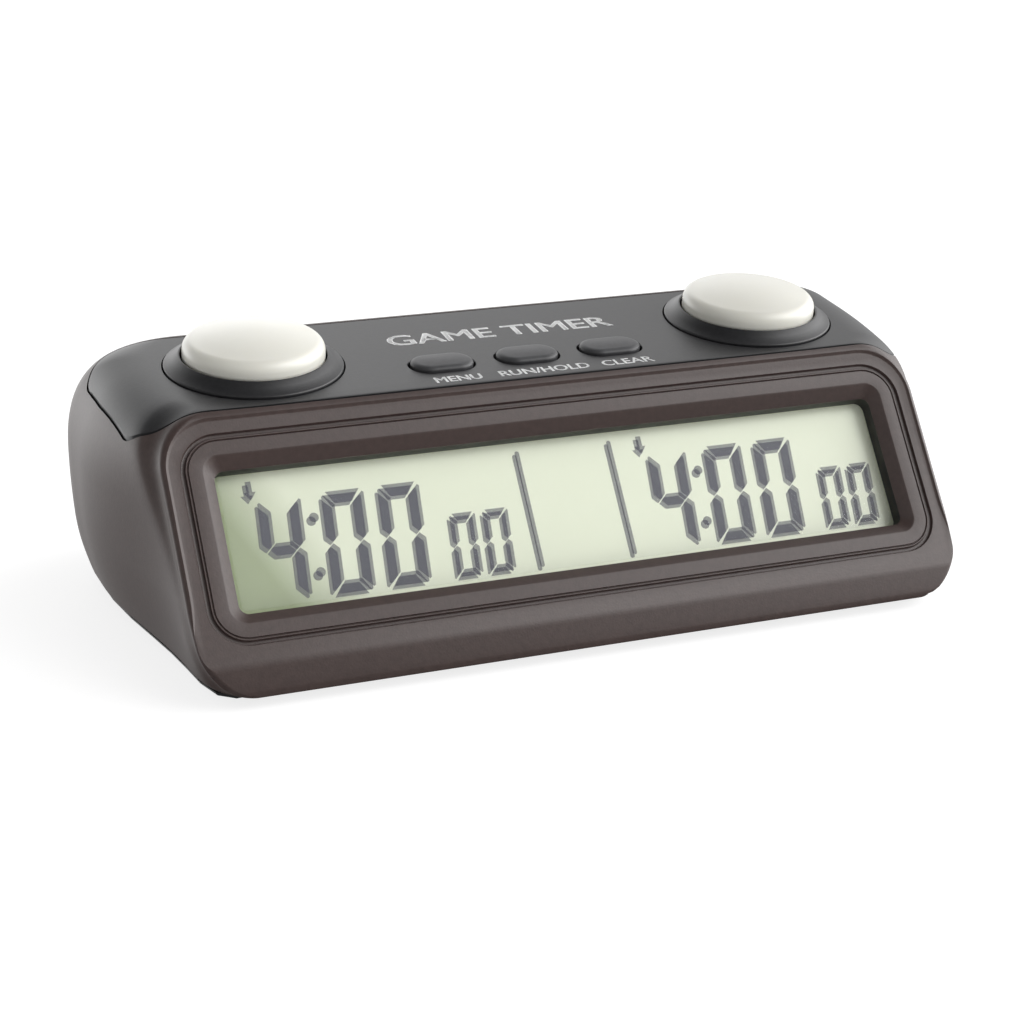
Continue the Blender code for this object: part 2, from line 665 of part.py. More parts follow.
def screws():
    case_screw = screw_mesh(2.6, 0.7, 1.25, 11.0, "case_screw_model")
    for k, (x, y) in enumerate(CASE_SCREWS, start=1):
        smooth(place(f"case_screw_{k}", case_screw, "screw_steel", CASE, (x, y, -23.3)))
    board_screw = screw_mesh(2.1, 1.3, 0.85, 8.0, "board_screw_model")
    under = KEY_BOARD_TOP - BOARD_THICK - CLEARANCE
    for k, (x, y) in enumerate(POSTS, start=1):
        smooth(place(f"board_screw_{k}", board_screw, "screw_steel", TOP, (x, y, under)))


def feet():
    low = -WINDOW_HEIGHT
    profile = [(0, -23.7), (4.4, -23.7), (4.5, -23.9), (4.5, low + 0.3), (4.2, low), (0, low)]
    for k, (x, y) in enumerate(FEET, start=1):
        smooth(turned(f"rubber_foot_{k}", profile, "foot_rubber", CASE, (x, y, 0), 24))


def battery_parts():
    along = (0, math.pi / 2, 0)
    low, high = -24.4, 24.2
    cell = [(0, high + 1.2), (2.6, high + 1.2), (2.6, high), (CELL_RADIUS - 0.5, high), (CELL_RADIUS, high - 0.5),
            (CELL_RADIUS, low + 0.5), (CELL_RADIUS - 0.5, low), (0, low)]
    smooth(turned("battery_cell", cell, "battery_wrap", CASE, (0, BAY_Y, CELL_Z), 32, turn=along))
    wire("battery_spring", coil(4.8, -27.0, -24.9, 2.5, 9, 2.4), 0.3, "spring_steel", CASE,
         (0, BAY_Y, CELL_Z), along)
    box("battery_contact", (0.5, 11.0, 10.0), "bright_metal", CASE, (26.6, BAY_Y, CELL_Z), 0.1)
    length, depth = 2 * BAY_HALF[0] - 0.8, 2 * BAY_HALF[1] - 0.8
    hinge = (-length / 2, BAY_Y, FLOOR_LOW)
    outline = rounded([(0, -depth / 2, 0.8), (length, -depth / 2, 0.8), (length, depth / 2, 0.8),
                       (0, depth / 2, 0.8)], 2)
    door = plate("battery_door", [outline], 0.0, DOOR_THICK, "black_plastic", CASE, hinge)
    for k in range(3):
        cut(door, box(f"thumb_groove_{k}", (1.0, 9.0, 1.0), None, CASE, (17 + 2.4 * k, BAY_Y, FLOOR_LOW)))


def slide_switch():
    x, y = SLIDER
    can = box("power_switch", (10.0, 5.4, 4.0), "bright_metal", CASE, (x, y, -19.8))
    cut(can, box("power_switch_way", (7.4, 2.8, 3.0), None, CASE, (x, y, -21.9)))
    knob = box("power_slider", (2.6, 2.2, 3.6), "black_plastic", CASE, (x - 1.6, y, -22.7))
    for k in (-1, 0, 1):
        cut(knob, box(f"slider_grip_{k}", (0.3, 4.0, 0.6), None, CASE, (x - 1.6 + 0.75 * k, y, -24.5)))


def buzzer():
    x, y = BUZZER
    turned("buzzer", [(0, 4.5), (6.8, 4.5), (7.2, 4.1), (7.2, 0.0), (1.4, 0.0), (1.4, 0.8), (0, 0.8)],
           "buzzer_plastic", CASE, (x, y, FLOOR_TOP + CLEARANCE), 28)


def wiring():
    """Leads and the ribbon between the boards, laid clear of what moves."""
    wire("battery_lead_red", smooth_route([(29.8, BAY_Y, -9), (34, BAY_Y - 4, -9), (36, 32, -12), (30, 22, -14),
                                           (20, 14, -13), (16, 10.5, -11.5)]), 0.6, "red_wire", CASE)
    wire("battery_lead_black", smooth_route([(-29.8, BAY_Y, -9), (-33, BAY_Y - 5, -9), (-32, 31, -12),
                                             (-22, 20, -14), (-6, 13, -13), (2, 10.0, -12.0)]), 0.6,
         "black_wire", CASE)
    wire("buzzer_lead", smooth_route([(-42, 18.0, -19), (-40, 21, -16), (-36, 20, -12), (-34, 14, -10),
                                      (-34, 11.0, -9.6)]), 0.6, "black_wire", CASE)
    knots = [(0, 17.2, -0.5), (0, 20.0, -3.5), (0, 24.0, -5.0), (0, 28.0, -3.6), (0, 29.4, -0.3)]
    route = smooth_route(knots, 4)
    shape = bmesh.new()
    rows = [[shape.verts.new(Vector((x, p.y, p.z)) * MM) for p in route] for x in (-8, 8)]
    for k in range(len(route) - 1):
        shape.faces.new((rows[0][k], rows[1][k], rows[1][k + 1], rows[0][k + 1]))
    mesh = bpy.data.meshes.new("ribbon_cable")
    shape.to_mesh(mesh)
    shape.free()
    ribbon = place("ribbon_cable", mesh, "ribbon_grey", CASE)
    thick = ribbon.modifiers.new("thickness", "SOLIDIFY")
    thick.thickness = 0.6 * MM
    thick.offset = 0


# ---------------------------------------------------------------- assembly

clear_scene()
PARTS = new_collection("chess_clock")
CUTTERS = new_collection("cutters")
CASE = empty("case_frame", (0, WINDOW_Y, WINDOW_HEIGHT), (0, 0, 0))
FRONT = empty("front_frame", (0, WINDOW_Y, WINDOW_HEIGHT), (math.pi / 2 - LEAN, 0, 0))
TOP = empty("top_frame", (0, WINDOW_Y + RING_Y, WINDOW_HEIGHT + top_z(RING_Y)), (TILT, 0, 0))

body_shell()
top_cover()
bottom_cover()
display_parts()
main_board_pieces()
for button_side, button_label in ((-1, "left"), (1, "right")):
    turn_button(button_side, button_label)
for key_name, key_x in (("key_mode", -KEY_X), ("key_start_pause", 0.0), ("key_reset", KEY_X)):
    function_key(key_name, key_x)
key_board()
screws()
feet()
battery_parts()
slide_switch()
buzzer()
wiring()
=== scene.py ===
"""The looks of the chess clock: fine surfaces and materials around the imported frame.

Lengths in this file are millimetres until a mesh is made. The case frame has x to the right, y to
the back and z up, with its origin at the middle of the display window. The front frame lies on the
leaning front face (x right, y up the face, z out) and the top frame on the tilted top face.
"""
import json
import math

import bmesh
import bpy
from mathutils import Matrix, Vector

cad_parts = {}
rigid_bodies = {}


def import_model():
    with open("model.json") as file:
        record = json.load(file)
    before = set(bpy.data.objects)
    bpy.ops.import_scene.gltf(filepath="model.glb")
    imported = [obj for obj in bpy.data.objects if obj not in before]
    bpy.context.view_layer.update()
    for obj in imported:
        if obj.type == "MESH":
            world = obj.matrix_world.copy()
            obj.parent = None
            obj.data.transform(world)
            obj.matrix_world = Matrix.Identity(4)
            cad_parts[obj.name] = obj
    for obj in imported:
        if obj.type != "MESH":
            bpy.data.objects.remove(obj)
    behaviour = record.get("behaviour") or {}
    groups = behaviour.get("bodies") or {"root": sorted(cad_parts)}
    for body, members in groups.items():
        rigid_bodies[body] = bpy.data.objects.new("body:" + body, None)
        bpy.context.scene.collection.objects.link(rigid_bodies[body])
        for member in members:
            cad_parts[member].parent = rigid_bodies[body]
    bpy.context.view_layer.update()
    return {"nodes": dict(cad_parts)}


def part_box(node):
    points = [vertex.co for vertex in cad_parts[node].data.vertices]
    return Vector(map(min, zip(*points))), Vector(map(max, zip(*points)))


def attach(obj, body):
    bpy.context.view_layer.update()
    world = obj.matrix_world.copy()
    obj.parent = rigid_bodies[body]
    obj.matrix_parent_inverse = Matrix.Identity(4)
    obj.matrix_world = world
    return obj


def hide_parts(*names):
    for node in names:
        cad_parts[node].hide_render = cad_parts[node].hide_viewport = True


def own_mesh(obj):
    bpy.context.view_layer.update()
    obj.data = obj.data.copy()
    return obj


MM = 0.001
for item in list(bpy.data.objects):
    bpy.data.objects.remove(item, do_unlink=True)
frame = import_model()
NODES = frame["nodes"]

# The case, as in the CAD
LEAN, TILT = math.radians(35.7), math.radians(7.4)
EDGE_Y, EDGE_Z = 12.98, 18.06
TOP_BACK_Y = 48.6
BASE_Z = -23.0
WALL = 2.4
FRAME_HALF, FRAME_CORNER = 71.6, 9.2
FRAME_DRAFT, DRAFT_Z = 1.3, -10.0        # how far the frame narrows to its foot, and from where
FRAME_LOW_CORNER, FRAME_LOW_START = 9.5, 18.2
FULL_HALF, FULL_Z = 79.0, 2.0            # half the greatest width, and where it is reached
FLANK_TUCK = 4.4                         # how far the flanks come in again below that
SHOULDER_HALF = 65.2
FLARE_LENGTH = 45.0
BACK_Y, BACK_LOW_Z = 76.5, -16.0
BACK_CORNER, BACK_CORNER_GROWTH = 8.0, 16.0      # corner radius at the top, and its growth below
APRON_Z, APRON_LEAN, APRON_BEND = -15.2, math.radians(24.0), 2.4
RIM_ROUND, TOP_ROUND, FOOT_ROUND = 1.3, 1.0, 0.8
VALLEY_DEPTH, VALLEY_AT = 0.5, 3.0       # a shallow hollow in the flank just behind the rim
BACK_BULGE, SHOULDER_BULGE = 1.3, 2.3

WINDOW_HALF, WINDOW_CORNER = (64.5, 14.6), 2.9
WELL_HALF, WELL_V = (62.63, 12.48), -0.3     # the opening at the foot of the window's chamfer
CHAMFER_DEPTH = 1.5
BAND_DEPTH = 0.35                        # the bands round the window lie this far inside the rim
RIM_INNER = (70.15, 20.6, 8.2)           # the rim's inner edge: half width, top and corner radius
RING_Y, BUTTON_X = 31.4, 48.8
COLLAR_RADIUS, CAP_RADIUS = 15.9, 12.6
KEY_X, KEY_Y, KEY_SIZE = 16.4, -8.0, (11.6, 7.1)
CUP_FLOOR = -7.0                         # the bottom of the cup in a collar
ROUND_STEPS = 160                        # round the buttons and their holes
COVER_THICK, SEAM = 1.3, 0.17
LCD_FACE = -4.8

# The case frame's origin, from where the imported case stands
LOW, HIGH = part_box("body_shell")
ORIGIN = Vector(((LOW[0] + HIGH[0]) / 2, LOW[1] + 0.0147, LOW[2] - BASE_Z * MM))


# ---------------------------------------------------------------- the case surface

def ease(t):
    t = min(max(t, 0.0), 1.0)
    return t * t * (3 - 2 * t)


def top_z(y):
    """Height of the tilted top face, level behind its back edge."""
    return EDGE_Z + math.tan(TILT) * (min(y, TOP_BACK_Y) - EDGE_Y)


def front_y(z):
    """The front skin in side view: the leaning face, then a steeper apron below it."""
    if z >= APRON_Z:
        return math.tan(LEAN) * z
    fall = APRON_Z - z
    steep, steeper = math.tan(LEAN), math.tan(APRON_LEAN)
    bent = min(fall, APRON_BEND)
    bend = steep * bent - (steep - steeper) * bent ** 2 / (2 * APRON_BEND)
    return steep * APRON_Z - bend - steeper * (fall - bent)


def back_y(z):
    """The back skin in side view, one curve from the top's back edge down."""
    rise = min(max((z - BACK_LOW_Z) / (top_z(TOP_BACK_Y) - BACK_LOW_Z), 0.0), 1.0)
    return TOP_BACK_Y + (BACK_Y - TOP_BACK_Y) * (1 - rise ** BACK_BULGE) ** (1 / BACK_BULGE)


def back_corner(z):
    return BACK_CORNER + BACK_CORNER_GROWTH * ease((top_z(TOP_BACK_Y) - z) / 32.0)


def arc_fall(radius, fall):
    """How far a quarter arc of this radius has still to go sideways after falling this far."""
    rest = min(max(radius - fall, 0.0), radius)
    return radius - math.sqrt(radius ** 2 - rest ** 2)


def frame_half(y, z):
    """Half the width of the frame round the window, at the front."""
    drop = top_z(y) - z
    draft = FRAME_DRAFT * max((DRAFT_Z - z) / (DRAFT_Z - BASE_Z), 0.0) ** 1.5
    return FRAME_HALF - draft - arc_fall(FRAME_CORNER, drop * 1.15)


def full_half(y, z):
    """Half the width of the case behind the frame, where the flanks bulge."""
    if z < FULL_Z:
        return FULL_HALF - FLANK_TUCK * ((FULL_Z - z) / 26.0) ** 2.2
    drop, whole = top_z(y) - z, top_z(y) - FULL_Z
    part = min(max(1 - drop / whole, 0.0), 1.0)
    rounding = (1 - part ** SHOULDER_BULGE) ** (1 / SHOULDER_BULGE)
    return SHOULDER_HALF + (FULL_HALF - SHOULDER_HALF) * rounding


def half_width(y, z):
    """Half the width of the case anywhere: the frame, flaring into the flanks behind it."""
    depth = max(y * math.cos(LEAN) - z * math.sin(LEAN), 0.0)
    start = -8.0 * (z - BASE_Z) / 41.0
    flare = ease((y - start) / FLARE_LENGTH) * ease(depth / 5.0)
    low = max(-z / math.cos(LEAN) - FRAME_LOW_START, 0.0)
    low_corner = arc_fall(FRAME_LOW_CORNER, FRAME_LOW_CORNER - low) * math.exp(-depth / 4.0)
    valley = VALLEY_DEPTH * math.exp(-((depth - VALLEY_AT) / 2.0) ** 2)
    narrow = frame_half(y, z)
    return narrow + flare * (full_half(y, z) - narrow) - low_corner - valley


def case_ring(level, side_steps, corner_steps, depth=0.0):
    """One closed outline of the case skin, or of a surface lying depth inside it.

    Level 0 is the lower edge and level 1 the top face. The skin itself has its edges rounded.
    """
    def height(y):
        return BASE_Z + level * (top_z(y) - depth - BASE_Z)

    def width(y):
        z = height(y)
        if not depth:
            return half_width(y, z)
        return min(half_width(y, z) - depth, half_width(y, min(z + depth, top_z(y))))

    start = 0.0
    for _ in range(8):
        start = front_y(height(start)) + depth / math.cos(LEAN)
    foot = tuck = 0.0
    if not depth:
        start += arc_fall(TOP_ROUND, top_z(start) - height(start))
        foot = arc_fall(FOOT_ROUND, height(start) - BASE_Z)
        start += foot
    rear_z = height(TOP_BACK_Y)
    rear, corner = back_y(rear_z) - foot - depth, back_corner(rear_z) - depth
    turn_y = rear - corner
    right = []
    for k in range(side_steps + 1):
        y = start + (turn_y - start) * (k / side_steps) ** 1.9
        if not depth:
            tuck = arc_fall(RIM_ROUND, y - start)
        right.append((width(y) - tuck - foot, y))
    middle_x = right[-1][0] - corner
    for k in range(1, corner_steps + 1):
        angle = math.pi / 2 * k / corner_steps
        right.append((middle_x + corner * math.cos(angle), turn_y + corner * math.sin(angle)))
    outline = right + [(-x, y) for x, y in reversed(right)]
    return [(x, y, height(y)) for x, y in outline]


# ---------------------------------------------------------------- outlines

def rounded(corners, steps=10):
    """A closed outline through (x, y, radius) corners, each corner an arc."""
    points = []
    count = len(corners)
    for i, (x, y, radius) in enumerate(corners):
        here = Vector((x, y))
        before = (Vector(corners[i - 1][:2]) - here).normalized()
        after = (Vector(corners[(i + 1) % count][:2]) - here).normalized()
        half = before.angle(after) / 2
        middle = here + (before + after).normalized() * radius / math.sin(half)
        reach = radius / math.tan(half)
        start, end = here + before * reach - middle, here + after * reach - middle
        turn = start.angle_signed(end)
        for k in range(steps + 1):
            arm = start.copy()
            arm.rotate(Matrix.Rotation(-turn * k / steps, 2))
            points.append(tuple(middle + arm))
    return points


def rounded_box(half_x, half_y, radius, steps=10, x=0.0, y=0.0):
    return rounded([(x - half_x, y - half_y, radius), (x + half_x, y - half_y, radius),
                    (x + half_x, y + half_y, radius), (x - half_x, y + half_y, radius)], steps)


def window_outline(grow):
    return rounded_box(WINDOW_HALF[0] + grow, WINDOW_HALF[1] + grow, max(WINDOW_CORNER + grow, 0.5), 14)


def stadium(length, width):
    return rounded_box(length / 2, width / 2, width / 2 - 0.01, 14)


def cover_outline(grow):
    """Plan of the black top cover."""
    front, back = 13.4 - grow, 47.9 + grow
    tip, side = (74.2 + grow, 13.7 - grow, 8.0 + grow), (75.9 + grow, 34.0, 30.0)
    right = [(52.0, front, 40.0), tip, side, (76.2 + grow, back, 5.0 + grow)]
    left = [(-x, y, radius) for x, y, radius in reversed(right)]
    return rounded(left[2:] + right + left[:2], 16)


# ---------------------------------------------------------------- meshes

CASE = Matrix.Translation(ORIGIN)
FRONT = CASE @ Matrix.Rotation(math.pi / 2 - LEAN, 4, "X")
TOP = CASE @ Matrix.Translation(Vector((0, RING_Y, top_z(RING_Y))) * MM) @ Matrix.Rotation(TILT, 4, "X")


def add(name, mesh, place):
    """A new object whose mesh is moved to its place, as the CAD nodes are."""
    mesh.transform(place)
    item = bpy.data.objects.new(name, mesh)
    bpy.context.scene.collection.objects.link(item)
    return item


def from_bmesh(name, shape, place):
    bmesh.ops.recalc_face_normals(shape, faces=shape.faces)
    mesh = bpy.data.meshes.new(name)
    shape.to_mesh(mesh)
    shape.free()
    return add(name, mesh, place)


def loft(name, loops, place=CASE):
    """A closed solid through loops of equal point count, lowest first."""
    count = len(loops[0])
    shape = bmesh.new()
    rows = [[shape.verts.new(Vector(point) * MM) for point in loop] for loop in loops]
    for low, high in zip(rows, rows[1:]):
        for i in range(count):
            j = (i + 1) % count
            shape.faces.new((low[i], low[j], high[j], high[i]))
    shape.faces.new(rows[-1])
    shape.faces.new(reversed(rows[0]))
    return from_bmesh(name, shape, place)


def level_loops(sections):
    """Loops for a loft from (outline, height) sections."""
    return [[(x, y, height) for x, y in outline] for outline, height in sections]


def turned(name, profile, place, steps=96):
    """A turned solid about z from a closed (radius, height) profile; radius 0 meets the axis."""
    shape = bmesh.new()
    rings = []
    for radius, height in profile:
        if radius == 0:
            rings.append([shape.verts.new((0, 0, height * MM))])
            continue
        angles = (2 * math.pi * k / steps for k in range(steps))
        rings.append([shape.verts.new(Vector((radius * math.cos(a), radius * math.sin(a), height)) * MM)
                      for a in angles])
    pairs = list(zip(rings, rings[1:]))
    if len(rings[0]) > 1:
        pairs.append((rings[-1], rings[0]))
    for upper, lower in pairs:
        for k in range(steps):
            j = (k + 1) % steps
            corners = [upper[k % len(upper)], lower[k % len(lower)],
                       lower[j % len(lower)], upper[j % len(upper)]]
            corners = list(dict.fromkeys(corners))
            if len(corners) > 2:
                shape.faces.new(corners)
    return from_bmesh(name, shape, place)


def boolean(item, cutter, operation="DIFFERENCE"):
    """Applies a Boolean at once and removes the cutter."""
    step = item.modifiers.new("step", "BOOLEAN")
    step.operation, step.solver = operation, "MANIFOLD"
    step.object = cutter
    bpy.context.view_layer.update()
    result = bpy.data.meshes.new_from_object(item.evaluated_get(bpy.context.evaluated_depsgraph_get()))
    item.modifiers.clear()
    item.data = result
    bpy.data.objects.remove(cutter, do_unlink=True)


def smooth(item, angle=32.0):
    item.data.shade_smooth()
    item.data.set_sharp_from_angle(angle=math.radians(angle))
    return item


def soften(item, width):
    """A small bevel on the hard edges of a CAD node."""
    edge = item.modifiers.new("soft_edges", "BEVEL")
    edge.width = width * MM
    edge.segments = 2
    edge.limit_method = "ANGLE"
    edge.angle_limit = math.radians(35.0)


def finish_piece(item, body, finish, replaces=()):
    """Gives a piece its material, the body it rides on and the CAD nodes it stands for."""
    item.data.materials.clear()
    item.data.materials.append(look(finish))
    if replaces:
        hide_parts(*replaces)
    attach(item, body)
    return item


# ---------------------------------------------------------------- materials

class Look:
    """A Principled material with helpers for procedural detail in object coordinates."""

    def __init__(self, name, colour, roughness=0.5, metallic=0.0):
        self.material = bpy.data.materials.new(name)
        self.material.use_nodes = True
        self.material.diffuse_color = (*colour, 1.0)
        self.tree = self.material.node_tree
        self.shader = self.tree.nodes["Principled BSDF"]
        self.colour = colour
        self.set("Base Color", (*colour, 1.0))
        self.set("Roughness", roughness)
        self.set("Metallic", metallic)
        self.place = self.node("ShaderNodeTexCoord").outputs["Object"]

    def node(self, kind):
        return self.tree.nodes.new(kind)

    def link(self, source, target):
        self.tree.links.new(source, target)

    def set(self, socket, value):
        self.shader.inputs[socket].default_value = value
        return self

    def noise(self, scale, detail=3.0, stretch=None):
        made = self.node("ShaderNodeTexNoise")
        made.inputs["Scale"].default_value = scale
        made.inputs["Detail"].default_value = detail
        source = self.place
        if stretch:
            mapping = self.node("ShaderNodeMapping")
            mapping.inputs["Scale"].default_value = stretch
            self.link(source, mapping.inputs["Vector"])
            source = mapping.outputs["Vector"]
        self.link(source, made.inputs["Vector"])
        return made.outputs["Fac"]

    def ramp(self, factor, low, high, low_at=0.3, high_at=0.7):
        made = self.node("ShaderNodeValToRGB")
        made.color_ramp.elements[0].position = low_at
        made.color_ramp.elements[1].position = high_at
        made.color_ramp.elements[0].color = (*low, 1.0)
        made.color_ramp.elements[1].color = (*high, 1.0)
        self.link(factor, made.inputs["Fac"])
        return made.outputs["Color"]

    def mottle(self, scale, amount=0.12, detail=3.0):
        """Slight variation of the base colour."""
        low = tuple(c * (1 - amount) for c in self.colour)
        high = tuple(c * (1 + amount) for c in self.colour)
        self.link(self.ramp(self.noise(scale, detail), low, high), self.shader.inputs["Base Color"])
        return self

    def grain(self, scale, depth, strength, stretch=None):
        """A fine moulded texture as bump. depth is in millimetres."""
        bump = self.node("ShaderNodeBump")
        bump.inputs["Strength"].default_value = strength
        bump.inputs["Distance"].default_value = depth * MM
        self.link(self.noise(scale, 2.0, stretch), bump.inputs["Height"])
        self.link(bump.outputs["Normal"], self.shader.inputs["Normal"])
        return self

    def uneven_gloss(self, scale, low, high):
        """Roughness that varies a little over the surface."""
        spread = self.node("ShaderNodeMapRange")
        spread.inputs["To Min"].default_value = low
        spread.inputs["To Max"].default_value = high
        self.link(self.noise(scale), spread.inputs["Value"])
        self.link(spread.outputs["Result"], self.shader.inputs["Roughness"])
        return self


def lcd_look():
    """Grey-green display glass with a painted reflection that makes it darker and greener towards its
    lower left end.
    """
    right, left = (0.71, 0.755, 0.585), (0.29, 0.345, 0.19)
    finish = Look("lcd_background", right, 0.28)
    # The painted reflection changes across the glass, and partly up its face, over a short distance near
    # the left end
    upward, edge, before, after = 0.54, -0.053, 0.006, 0.007
    along = finish.node("ShaderNodeVectorMath")
    along.operation = "DOT_PRODUCT"
    along.inputs[1].default_value = (1.0, upward * math.sin(LEAN), upward * math.cos(LEAN))
    finish.link(finish.place, along.inputs[0])
    spread = finish.node("ShaderNodeMapRange")
    middle = upward * (ORIGIN.y * math.sin(LEAN) + ORIGIN.z * math.cos(LEAN)) + edge
    spread.inputs["From Min"].default_value = middle - before
    spread.inputs["From Max"].default_value = middle + after
    finish.link(along.outputs["Value"], spread.inputs["Value"])
    # The darker, greener colour is a painted reflection, not a tint of the glass
    colour = finish.ramp(spread.outputs["Result"], left, right, 0.0, 1.0)
    finish.link(colour, finish.shader.inputs["Base Color"])
    return finish


def clear_look():
    finish = Look("clear_window", (0.9, 0.92, 0.9), 0.04)
    return finish.set("Alpha", 0.05).set("Specular IOR Level", 0.12)


LOOKS = {
    "brown":
        Look("brown_plastic", (0.052, 0.0345, 0.0312), 0.40).mottle(900, 0.10).grain(2600, 0.05, 0.35),
    "black":
        Look("black_plastic", (0.016, 0.016, 0.0175), 0.37).mottle(1200, 0.15).grain(3200, 0.04, 0.30),
    "gloss_black":
        Look("frame_black", (0.012, 0.012, 0.012), 0.30).mottle(700, 0.10).grain(3000, 0.02, 0.2),
    "cream":
        Look("cream_plastic", (0.70, 0.69, 0.625), 0.30).mottle(60, 0.015).uneven_gloss(300, 0.26, 0.36),
    "key": Look("key_rubber", (0.040, 0.040, 0.043), 0.44).mottle(900, 0.12).grain(2400, 0.03, 0.3),
    "lcd": lcd_look(),
    "segment": Look("lcd_segment", (0.060, 0.062, 0.110), 0.45).mottle(120, 0.06).set("Alpha", 0.30),
    "clear": clear_look(),
    "ink": Look("white_ink", (0.95, 0.95, 0.95), 0.30).mottle(2500, 0.04).grain(4000, 0.01, 0.3),
    "reflector": Look("reflector_film", (0.72, 0.74, 0.70), 0.35, 0.2).mottle(300, 0.05),
    "elastomer": Look("elastomer", (0.15, 0.15, 0.16), 0.7).grain(900, 0.05, 0.4, stretch=(1, 12, 12)),
    "board": Look("circuit_board", (0.03, 0.19, 0.08), 0.40).mottle(350, 0.30, 1.0).grain(500, 0.03, 0.3),
    "resin": Look("chip_resin", (0.015, 0.015, 0.016), 0.35).mottle(800, 0.2).grain(1500, 0.03, 0.4),
    "bright": Look("bright_metal", (0.70, 0.70, 0.69), 0.25, 1.0).uneven_gloss(400, 0.2, 0.34),
    "spring":
        Look("spring_steel", (0.52, 0.52, 0.52), 0.28, 1.0).grain(1500, 0.02, 0.4, stretch=(1, 1, 8)),
    "screw": Look("screw_steel", (0.45, 0.45, 0.46), 0.30, 1.0).uneven_gloss(600, 0.24, 0.42),
    "sleeve": Look("capacitor_sleeve", (0.04, 0.06, 0.18), 0.32).mottle(500, 0.1),
    "buzzer": Look("buzzer_plastic", (0.02, 0.02, 0.022), 0.4).grain(2000, 0.03, 0.4),
    "battery": Look("battery_wrap", (0.12, 0.22, 0.42), 0.3, 0.1).mottle(150, 0.08),
    "foot": Look("foot_rubber", (0.04, 0.04, 0.042), 0.8).mottle(900, 0.2).grain(1800, 0.06, 0.5),
    "ribbon":
        Look("ribbon_grey", (0.42, 0.42, 0.43), 0.45).grain(700, 0.15, 0.8, stretch=(1, 0.01, 0.01)),
    "red": Look("red_wire", (0.52, 0.03, 0.025), 0.4).mottle(600, 0.08),
    "wire": Look("black_wire", (0.02, 0.02, 0.02), 0.4).mottle(600, 0.1),
}
LOOKS["cream"].set("Subsurface Weight", 0.12).set("Subsurface Radius", (0.9, 0.8, 0.6))
LOOKS["cream"].set("Subsurface Scale", 0.003).set("Coat Weight", 0.25).set("Coat Roughness", 0.15)


def look(name):
    return LOOKS[name].material


# ---------------------------------------------------------------- case

def case_solid(name):
    """The whole outer shape, with rings close together at the top edge and wider apart below."""
    bottom = [0.0, 0.002, 0.006, 0.012, 0.02]
    drops = [(k / 96) ** 1.7 for k in range(97)]
    levels = bottom + [1 - drop for drop in reversed(drops) if 1 - drop > 0.03]
    return loft(name, [case_ring(level, 64, 16) for level in levels])


def case_core(name, depth):
    """The case's inside at this depth, running on below the lower edge."""
    levels = [1 - (k / 40) ** 1.5 for k in range(40, -1, -1)]
    rings = [case_ring(level, 36, 10, depth) for level in levels]
    skirt = [(x, y, BASE_Z - 5.0) for x, y, _ in rings[0]]
    return loft(name, [skirt, *rings])


def tray():
    """Sinks the bands round the window inside a raised rim; it runs out into the apron below."""
    sections = []
    for grow, height in ((0.0, -BAND_DEPTH), (0.1, -BAND_DEPTH + 0.02), (0.25, -BAND_DEPTH + 0.1),
                         (0.5, -0.08), (0.7, 0.02), (2.5, 3.0)):
        right, top, corner = RIM_INNER[0] + grow, RIM_INNER[1] + grow, RIM_INNER[2] + grow
        wide = right + 2.6
        outline = rounded([(-wide, -32, 2), (wide, -32, 2), (wide, -23, 12), (right, -12, 30),
                           (right, top, corner), (-right, top, corner), (-right, -12, 30),
                           (-wide, -23, 12)], 12)
        sections.append((outline, height))
    return loft("tray", level_loops(sections), FRONT)


def well_outline(grow):
    return rounded_box(WELL_HALF[0] + grow, WELL_HALF[1] + grow, 1.7 + grow, 14, 0.05, WELL_V)


def window_relief():
    """The chamfered window and the beaded groove round it, as one cutter."""
    air = -BAND_DEPTH
    foot = air - CHAMFER_DEPTH
    well = [(well_outline(0.3), -12.0), (well_outline(0.3), foot - 0.3), (well_outline(0.0), foot - 0.12),
            (well_outline(0.0), foot), (window_outline(-0.14), air - 0.12),
            (window_outline(0.06), air - 0.02), (window_outline(0.26), air + 0.01)]
    # How far out from the window, and height: a narrow groove, the bead, a wide groove
    groove = [(2.44, 0.01), (2.5, -0.12), (2.56, -0.26), (2.64, -0.28), (2.72, -0.1),
              (2.8, -0.03), (2.94, -0.03),
              (3.02, -0.14), (3.1, -0.5), (3.2, -0.55), (3.6, -0.55), (3.7, -0.5), (3.8, -0.16),
              (3.9, 0.01), (4.05, 4.0)]
    sections = well + [(window_outline(grow), air + height) for grow, height in groove]
    return loft("window_relief", level_loops(sections), FRONT)


def cover_prism(name, grow):
    """An upright block on the cover's outline, to cut with."""
    return loft(name, level_loops([(cover_outline(grow), 4.0), (cover_outline(grow), 40.0)]))


def case_body():
    """The brown case, open below, with the window and the recess and opening for the top cover."""
    body = case_solid("case_body")
    boolean(body, case_core("inside", WALL))
    boolean(body, tray())
    boolean(body, window_relief())
    recess = cover_prism("recess", SEAM)
    boolean(recess, case_core("below_cover", COVER_THICK + 0.3))
    boolean(body, recess)
    boolean(body, cover_prism("opening", -1.5))
    for side in (-1, 1):
        way = turned("flange_way", [(0, -1.4), (16.7, -1.4), (16.7, -4.0), (0, -4.0)],
                     TOP @ Matrix.Translation((side * BUTTON_X * MM, 0, 0)))
        boolean(body, way)
    finish_piece(smooth(body), "case", "brown", ["body_shell"])


